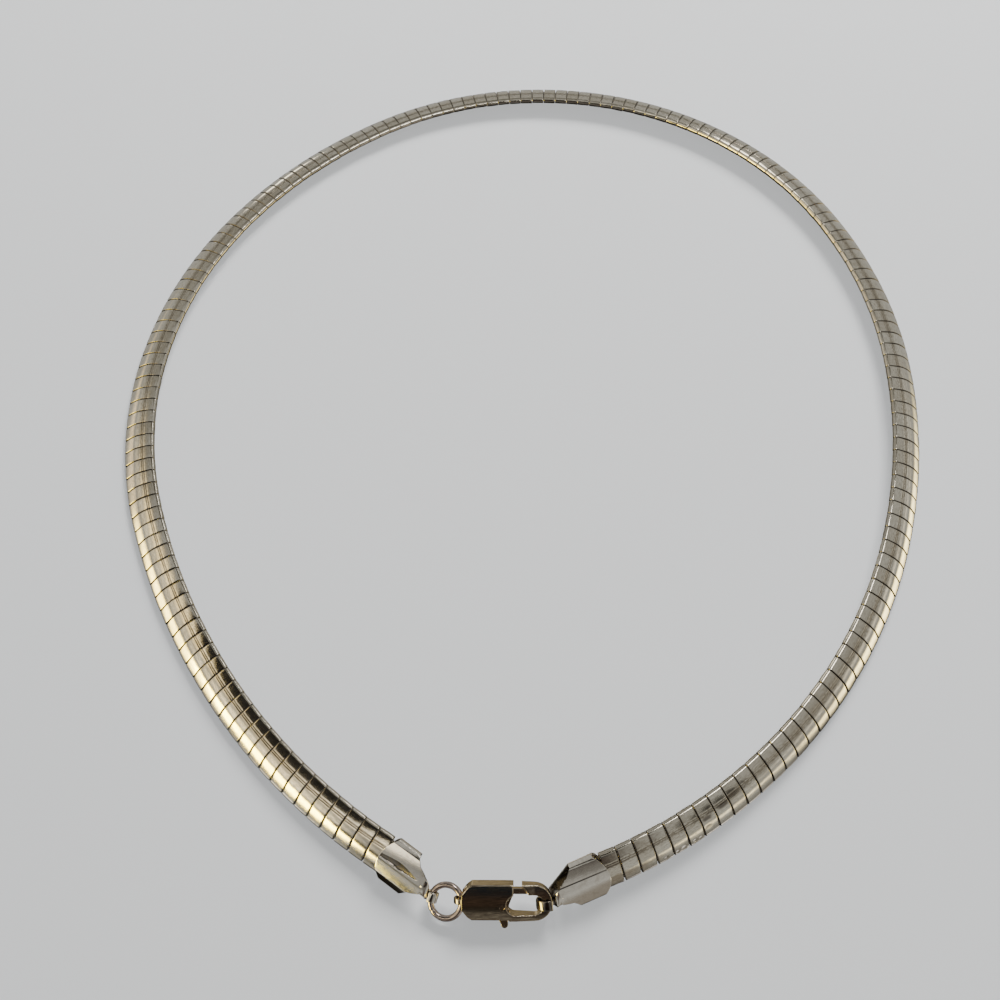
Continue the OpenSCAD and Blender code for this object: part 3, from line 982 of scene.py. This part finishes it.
def jump_ring(material):
    """Round wire bent into a ring, with the cut where its ends meet."""
    turns, around = 128, 24
    points = []
    for k in range(turns):
        degrees = 360 * k / turns
        near = abs((degrees - RING_SEAM + 180) % 360 - 180)
        wire = RING_WIRE_R * (1 - SEAM_DEPTH * exp(-((near / SEAM_HALF) ** 2)))
        centre = ring_point(degrees, RING_R)
        out = (ring_point(degrees, RING_R + 1) - centre).normalized()
        tangent = (ring_point(degrees + 1, RING_R) - ring_point(degrees - 1, RING_R)).normalized()
        up = out.cross(tangent)
        points += [centre + out * (wire * c) + up * (wire * s) for c, s in circle(around)]
    faces = grid_faces(turns, around, closed=True)
    last = (turns - 1) * around
    for j in range(around):
        ahead = (j + 1) % around
        faces.append((last + j, last + ahead, ahead, j))
    new_object("jump_ring_dressed", points, faces, material, "jump_ring")


# The clasp, cut and rounded like a casting


def arc(centre, r, start, end, count):
    made = []
    for k in range(count + 1):
        a = radians(start + (end - start) * k / count)
        made.append((centre[0] + r * cos(a), centre[1] + r * sin(a)))
    return made


def prism(outline, half):
    """A loose mesh object: an outline extruded this far up and down."""
    mesh = bpy.data.meshes.new("prism")
    points = [(x * MM, y * MM, z * MM) for z in (-half, half) for x, y in outline]
    mesh.from_pydata(points, [], prism_faces(len(outline)))
    return linked("prism", mesh)


def disc(centre, r, half, count=64):
    return prism(arc(centre, r, 0, 360 - 360 / count, count - 1), half)


def box(left, low, right, high):
    return [(left, low), (right, low), (right, high), (left, high)]


def combine(base, tool, operation):
    """Cuts, joins or keeps the overlap, then drops the tool."""
    modify(base, "BOOLEAN", operation=operation, object=tool, solver="EXACT")
    apply_modifiers(base)
    bpy.data.objects.remove(tool)


def cast(obj, body, node, material, hole_r, cell, smoothing, crown):
    """Remeshes a cut shape finely, softens its edges, drills the pin's hole, crowns it and places it."""
    modify(obj, "REMESH", mode="VOXEL", voxel_size=cell * MM)
    modify(obj, "SMOOTH", factor=0.5, iterations=smoothing)
    apply_modifiers(obj)
    combine(obj, disc(PIVOT, hole_r, 3), "DIFFERENCE")
    half = CLASP_W / 2 * MM
    for vertex in obj.data.vertices:
        vertex.co.z *= 1 - crown * (vertex.co.y / half) ** 2
    place = CLASP_FRAME.copy()
    place.translation = place.translation * MM
    obj.data.transform(place)
    obj.name = obj.data.name = f"{node}_dressed"
    obj.data.shade_smooth()
    obj.data.materials.clear()
    obj.data.materials.append(material)
    return dress(obj, body, node)


def taper():
    """The clasp's side view: full thickness at the cheeks, thinner at the hook."""
    thick, thin = CLASP_T / 2, HOOK_T / 2
    side = [(-1.5, thick), (CHEEK_END - 0.3, thick), (CHEEK_END + 0.5, thick - 0.05)]
    side += [(CHEEK_END + 1.4, thick - 0.18), (CHEEK_END + 2.6, thin + 0.1), (CHEEK_END + 3.7, thin)]
    side.append((CLASP_LEN + 1, thin))
    outline = side + [(x, -z) for x, z in side[::-1]]
    made = prism(outline, 4)
    made.data.transform(spin(pi / 2, "X"))
    return made


def clasp_body(material):
    """Cheeks and hook, less the swing of the gate, the mouth, the tail's slot and eye, and the hollow."""
    half = CLASP_W / 2
    corner = (TAIL_CUT[0] * 0.55, -half + TAIL_CUT[1] * 0.3)
    edge = [(0, -half + TAIL_CUT[1]), corner, (TAIL_CUT[0], -half), (CHEEK_END, -half)]
    body = prism(edge + [(x, -y) for x, y in edge[::-1]], CLASP_T / 2)
    end_x = CLASP_LEN - HOOK_END_R
    low, high = HOOK_Y - HOOK_END_R, HOOK_Y + HOOK_END_R
    bow = [(HOOK_START, low)] + arc((end_x, HOOK_Y), HOOK_END_R, -90, 90, 48) + [(HOOK_START, high)]
    hook = prism(bow, CLASP_T / 2)
    behind, beyond = HOOK_START - 1, CHEEK_END + 0.4
    gate_way = prism(box(behind, MOUTH_Y, beyond, 4), 2)
    swing = disc(PIVOT, GATE_R + GATE_CLEARANCE, 2, 128)
    combine(swing, prism(box(behind, MOUTH_TOP - 0.2, 12, 4), 3), "INTERSECT")
    combine(hook, gate_way, "DIFFERENCE")
    combine(hook, swing, "DIFFERENCE")
    combine(body, hook, "UNION")
    combine(body, taper(), "INTERSECT")
    combine(body, prism(box(-1, -3, TAIL_SLOT_LEN, 3), TAIL_SLOT_H / 2), "DIFFERENCE")
    eye = disc((0, 0), EYE_R, SEEN_EYE_W / 2)
    eye_hole = disc((0, 0), EYE_HOLE_R, CLASP_W)
    upright = Matrix.Translation((EYE_X * MM, 0, 0)) @ spin(pi / 2, "X")
    eye.data.transform(upright)
    eye_hole.data.transform(upright)
    combine(body, eye, "UNION")
    combine(body, eye_hole, "DIFFERENCE")
    mouth = arc((MOUTH_X[0], MOUTH_Y), MOUTH_R, 90, 270, 40)
    mouth += arc((MOUTH_X[1], MOUTH_Y), MOUTH_R, -90, 90, 40)
    combine(body, prism(mouth, 3), "DIFFERENCE")
    combine(body, prism(CAVITY, CAVITY_H / 2), "DIFFERENCE")
    hole_r = SEEN_PIN_R + SEEN_PIN_ROOM
    made = cast(body, "necklace", "clasp_body", material, hole_r, cell=0.05, smoothing=22, crown=CLASP_CROWN)
    back = CLASP_FRAME.inverted()
    ends = [(back @ (vertex.co / MM)).x for vertex in made.data.vertices]
    mark(made, "soot_and_shade", [EYE_SOOT * min(max(EYE_SOOT_END - x, 0.0) / EYE_SOOT_FADE, 1.0) for x in ends])


def clasp_lever(material):
    """The gate, the boss round its pin and the thumb piece."""
    half = LEVER_T / 2
    top = MOUTH_TOP + 0.04
    reach = PIVOT[0] + GATE_R + 0.1
    arm = [(PIVOT[0] - 0.6, PIVOT[1] + 0.6), (PIVOT[0] + 0.8, PIVOT[1]), (CHEEK_END, top)]
    gate = prism(arm + [(reach, top), (reach, GATE_TOP), (HOOK_START, GATE_TOP)], half)
    combine(gate, disc(PIVOT, GATE_R, 2, 128), "INTERSECT")
    combine(gate, disc(PIVOT, PIVOT_BOSS_R, half), "UNION")
    left, right = THUMB_X - THUMB_W / 2, THUMB_X + THUMB_W / 2
    foot = arc(THUMB_TIP, THUMB_TIP_R, 180, 360, 24)
    stem = [(right, THUMB_BEND_Y), (right, PIVOT[1]), (left, PIVOT[1]), (left, THUMB_BEND_Y)]
    combine(gate, prism(foot + stem, half), "UNION")
    cast(gate, "lever", "clasp_lever", material, PIN_R + PIN_CLEARANCE, cell=0.04, smoothing=8, crown=0.0)


def clasp_pin(material):
    """The rivet, ground down to just under the clasp's faces."""
    top = CLASP_T / 2 - PIN_SUNK
    around = circle(40)
    points = []
    for share, up in ((0.001, -top), (1.0, -top), (1.0, top), (0.001, top)):
        r = share * SEEN_PIN_R
        points += [CLASP_FRAME @ Vector((PIVOT[0] + r * c, PIVOT[1] + r * s, up)) for c, s in around]
    faces = grid_faces(4, len(around), closed=True)
    sharp_by_angle(new_object("clasp_pin_dressed", points, faces, material, "clasp_pin"), 50)


# Studio


FLOOR_HALF = 720.0
FLOOR_Z = -0.00002
BLACK = (0.0, 0.0, 0.0)
WHITE = (1.0, 1.0, 1.0)


def stage_piece(mesh, settings, unseen_by, z=0.0):
    """A piece of the studio in one plain material. unseen_by names the kinds of ray that pass through it."""
    obj = linked(mesh.name, mesh)
    mesh.materials.append(new_material(mesh.name, settings)[0])
    obj.location.z = z
    for ray in unseen_by:
        setattr(obj, f"visible_{ray}", False)


def flat_mesh(name, corners, z):
    mesh = bpy.data.meshes.new(name)
    mesh.from_pydata([(x * MM, y * MM, z * MM) for x, y in corners], [], [tuple(range(len(corners)))])
    return mesh


def floor(colour):
    """A plain table. It isn't mirrored in the metal, whose light comes from the room."""
    mesh = flat_mesh("floor", box(-FLOOR_HALF, -FLOOR_HALF, FLOOR_HALF, FLOOR_HALF), 0.0)
    settings = {"Base Color": colour, "Roughness": 0.6, "Specular IOR Level": 0.0}
    stage_piece(mesh, settings, ["glossy"], FLOOR_Z)


def backdrop(radius, tone):
    """A plain pale wall all round, for views from the side. It gives no light."""
    mesh = bpy.data.meshes.new("backdrop")
    work = bmesh.new()
    bmesh.ops.create_uvsphere(work, u_segments=64, v_segments=32, radius=radius)
    work.to_mesh(mesh)
    work.free()
    mesh.shade_smooth()
    settings = {"Base Color": BLACK, "Specular IOR Level": 0.0}
    settings |= {"Emission Color": WHITE, "Emission Strength": tone}
    stage_piece(mesh, settings, ["glossy", "diffuse", "shadow"])


# Light that the metal sees, as soft patches: [azimuth, elevation, half width, half height, share that is soft
# edge, colour, strength]. Angles are in degrees, with azimuth 0 to the right and 90 away from the camera
BRIGHT = [
    (-154, 13, 21, 10.5, 0.3, (1, 0.79, 0.13), 26),
    (-177, 9, 22, 12, 0.7, (1, 0.79, 0.2), 11),
    (160, 10, 34, 13, 0.8, (1, 0.78, 0.44), 1.1),
    (152, 53, 20, 10, 0.6, (1, 0.77, 0.34), 1.8),
    (-168, 56, 22, 9, 0.8, (1, 0.78, 0.36), 0.7),
    (-160, 37, 20, 16, 0.7, (1, 0.84, 0.5), 1.6),
    (167, 37, 32, 16, 0.8, (1, 0.84, 0.5), 0.7),
    (-150, 65, 12, 11, 0.6, (1, 0.9, 0.68), 1.8),
    (-4, -18, 35, 13.5, 0.8, (1, 0.84, 0.4), 6.5),
    (20, 25, 14, 7, 0.8, (1, 0.93, 0.78), 0.35),
    (-45, -12, 24, 9, 0.8, (1, 0.87, 0.55), 1.6),
    (-8, 13, 44, 9, 0.8, (1, 0.9, 0.7), 0.6),
    (-131, 6, 12, 3, 0.6, (1, 0.95, 0.86), 0.9),
    (-151, -14, 13, 8, 0.7, (1, 0.95, 0.85), 1.8),
    (-43, -45, 18, 14, 0.6, (1, 0.97, 0.97), 1.2),
    (90, -60, 30, 20, 0.8, (1, 0.84, 0.5), 0.35),
    (52, -36, 20, 12, 0.8, (1, 0.93, 0.78), 0.4),
    (101, -45, 9, 13, 0.8, (1, 0.9, 0.66), 0.6),
    (113, 12, 6, 8, 0.8, (1, 0.94, 0.8), 4),
]
# Dark things round the camera: [azimuth, elevation, half width, half height, soft edge, colour, share]
DARK = [
    (-22, 31, 38, 15, 0.8, (0.25, 0.232, 0.2), 0.6),
    (84, 51, 22, 11, 0.7, (0.09, 0.085, 0.075), 1),
    (45, 28, 16, 8, 0.8, (0.28, 0.265, 0.23), 0.8),
    (-92, 46, 34, 30, 0.6, (0.05, 0.034, 0.027), 1),
    (-96, 14, 30, 28, 0.7, (0.09, 0.065, 0.055), 0.95),
    (-98, 37, 32, 8, 0.3, (0.17, 0.163, 0.15), 0.95),
    (-97, 45.5, 30, 3.2, 0.5, (0.008, 0.007, 0.006), 1),
    (-96, 62, 26, 8, 0.5, (0.008, 0.012, 0.02), 1),
    (-42, 37, 5, 9, 0.4, (0.02, 0.018, 0.016), 0.85),
    (-124, 13, 11, 7.5, 0.3, (0.05, 0.046, 0.042), 1),
    (-137, 27, 10, 5, 0.4, (0.09, 0.085, 0.07), 1),
    (-128, 0, 12, 4, 0.3, (0.02, 0.018, 0.016), 1),
    (-137, -38, 45, 22, 0.5, (0.012, 0.01, 0.008), 1),
    (-68, -20, 13, 15, 0.5, (0.26, 0.235, 0.2), 0.9),
    (120, 40, 24, 18, 0.8, (0.28, 0.27, 0.23), 0.5),
    (122, 53, 14, 7, 0.8, (0.2, 0.19, 0.16), 0.5),
]
# The rest of the room, from straight down to straight up
ROOM_BASE = [
    (0, (0.02, 0.018, 0.016)),
    (0.13, (0.035, 0.03, 0.027)),
    (0.22, (0.15, 0.143, 0.128)),
    (0.31, (0.48, 0.48, 0.455)),
    (0.7, (0.5, 0.5, 0.475)),
    (1, (0.42, 0.42, 0.4)),
]


def patch(where, azimuth, elevation, half_w, half_h, edge):
    """One over the middle of a patch of the room, falling softly to zero at its edge."""
    turn = (0, -radians(elevation), radians(azimuth))
    middle = Vector((1, 0, 0))
    middle.rotate(Matrix.Rotation(turn[2], 3, "Z") @ Matrix.Rotation(turn[1], 3, "Y"))
    size = (1.2, sin(radians(half_w)), sin(radians(half_h)))
    settings = {"Vector": where, "Location": middle, "Rotation": turn, "Scale": size}
    tree = where.id_data
    inside = add_node(tree, "Mapping", settings, vector_type="TEXTURE")
    ball = add_node(tree, "TexGradient", {"Vector": inside}, "Fac", gradient_type="SPHERICAL")
    return add_node(tree, "MapRange", {"Value": ball, "From Max": edge}, interpolation_type="SMOOTHSTEP")


def room():
    """The surroundings that the metal mirrors. They give the floor no light."""
    world = bpy.data.worlds.new("room")
    bpy.context.scene.world = world
    world.use_nodes = True
    tree = world.node_tree
    where = add_node(tree, "TexCoord", output="Generated")
    height = add_node(tree, "MapRange", {"Value": split(where)[2], "From Min": -1.0})
    colour = ramp_of(height, ROOM_BASE)
    for *shape, tint, strength in BRIGHT:
        glow = tuple(c * strength for c in tint)
        light = mixed(patch(where, *shape), BLACK, glow)
        colour = mixed(1.0, colour, light, "ADD")
    for *shape, tint, most in DARK:
        colour = mixed(times(patch(where, *shape), most), colour, tint)
    set_inputs(tree.nodes["Background"], {"Color": colour, "Strength": 1.0})
    world.cycles_visibility.diffuse = False


def softbox(name, place, aim, size, power, colour):
    """A lamp that lights the floor and does not show in the metal."""
    light = bpy.data.lights.new(name, "AREA")
    light.shape = "RECTANGLE"
    light.size, light.size_y = size
    light.energy = power
    light.color = colour
    obj = linked(name, light)
    obj.location = place
    obj.rotation_euler = (Vector(aim) - Vector(place)).to_track_quat("-Z", "Y").to_euler()
    obj.visible_glossy = False


def card(name, corners, colour, glow):
    """A card beside the camera that shows only in the metal's reflections."""
    settings = {"Base Color": colour, "Roughness": 0.8, "Emission Color": colour, "Emission Strength": glow}
    stage_piece(flat_mesh(name, corners, CARD_Z), settings, ["camera", "diffuse", "shadow"])


# The cards' corners seen from above, and their height: a dark one round the camera, a lamp and a window
DARK_CARD = [(30, -96), (30, -40), (-20, -30), (-30, 0), (-60, 24), (-98, 16), (-108, -5), (-112, -18)]
DARK_CARD += [(-106, -35), (-98, -53), (-85, -69), (-70, -81), (-56, -77), (-44, -94)]
LAMP_CARD = [(60, 132), (94, 132), (106, 198), (82, 198)]
WINDOW_CARD = [(16, -20), (46, -22), (64, 12), (62, 56), (48, 56), (36, 14), (16, -6)]
CARD_Z = 124.0


# The camera stands where the photograph was taken from
CAMERA_F = 900.0
CAMERA_UP = radians(63.26)
CAMERA_FAR = 136.4
CAMERA_ROLL = radians(-3.4)
LOOK_AT = Vector((-4.2, -14.8, 0.0))
FRAME_PIXELS = 1000
SENSOR_W = 36


def camera():
    ahead = Vector((0, cos(CAMERA_UP), -sin(CAMERA_UP)))
    up = Vector((0, sin(CAMERA_UP), cos(CAMERA_UP)))
    right = Vector((1, 0, 0))
    c, s = cos(CAMERA_ROLL), sin(CAMERA_ROLL)
    data = bpy.data.cameras.new("camera")
    data.sensor_width = SENSOR_W
    data.lens = SENSOR_W * CAMERA_F / FRAME_PIXELS
    data.clip_start = 0.005
    data.clip_end = 10
    obj = linked("camera", data)
    place = Matrix((right * c + up * s, up * c - right * s, -ahead)).transposed().to_4x4()
    place.translation = (LOOK_AT - ahead * CAMERA_FAR) * MM
    obj.matrix_world = place
    bpy.context.scene.camera = obj


def build():
    camera()
    room()
    floor((0.735, 0.75, 0.757))
    backdrop(1.0, 0.85)
    card("dark_card", DARK_CARD, (0.02, 0.017, 0.015), 0.0)
    card("lamp_card", LAMP_CARD, (1.0, 0.96, 0.9), 4.0)
    card("window_card", WINDOW_CARD, (1.0, 0.97, 0.92), 8.0)
    softbox("key", (0.24, 0.58, 0.42), (0, 0, 0), (0.34, 0.24), 7.9, (1.0, 0.99, 0.98))
    softbox("fill", (0.05, 0.16, 0.5), (0.03, 0.1, 0), (1.4, 1.4), 6.4, WHITE)
    plate_finish = plate_metal()
    cap_finish = metal("cap_metal", (0.86, 0.82, 0.74), (0.50, 0.45, 0.38), (0.08, 0.19), 0.35, 0.003, 2.6)
    ring_finish = metal("ring_metal", (0.56, 0.48, 0.43), (0.22, 0.16, 0.15), (0.1, 0.24), 0.6, 0.003)
    clasp_finish = metal("clasp_metal", (0.84, 0.74, 0.56), (0.22, 0.16, 0.12), (0.08, 0.22), 0.75, 0.003)
    lever_finish = metal("lever_metal", (0.70, 0.60, 0.46), (0.26, 0.20, 0.15), (0.12, 0.3), 0.5, 0.003)
    plates(plate_finish)
    core(woven_metal())
    place = cap_frame(STATIONS[0], LEFT_HEADING, START_TILT, -1)
    curl = frame_at(ring_point(*LEFT_LOOP_AT), *LEFT_LOOP_LIE)
    cap("cap_left", place, curl, LEFT_LOOP_R, LEFT_SHIFT, LEFT_EDGES, LEFT_SHADE, cap_finish)
    place = cap_frame(STATIONS[-1], RIGHT_HEADING, ARCS[-1][1], 1)
    curl = frame_at(CLASP_FRAME @ Vector(RIGHT_LOOP_AT), *RIGHT_LOOP_LIE)
    cap("cap_right", place, curl, RIGHT_LOOP_R, RIGHT_SHIFT, RIGHT_EDGES, RIGHT_SHADE, cap_finish)
    under_tab(place, cap_finish)
    jump_ring(ring_finish)
    clasp_body(clasp_finish)
    clasp_lever(lever_finish)
    clasp_pin(clasp_finish)


build()
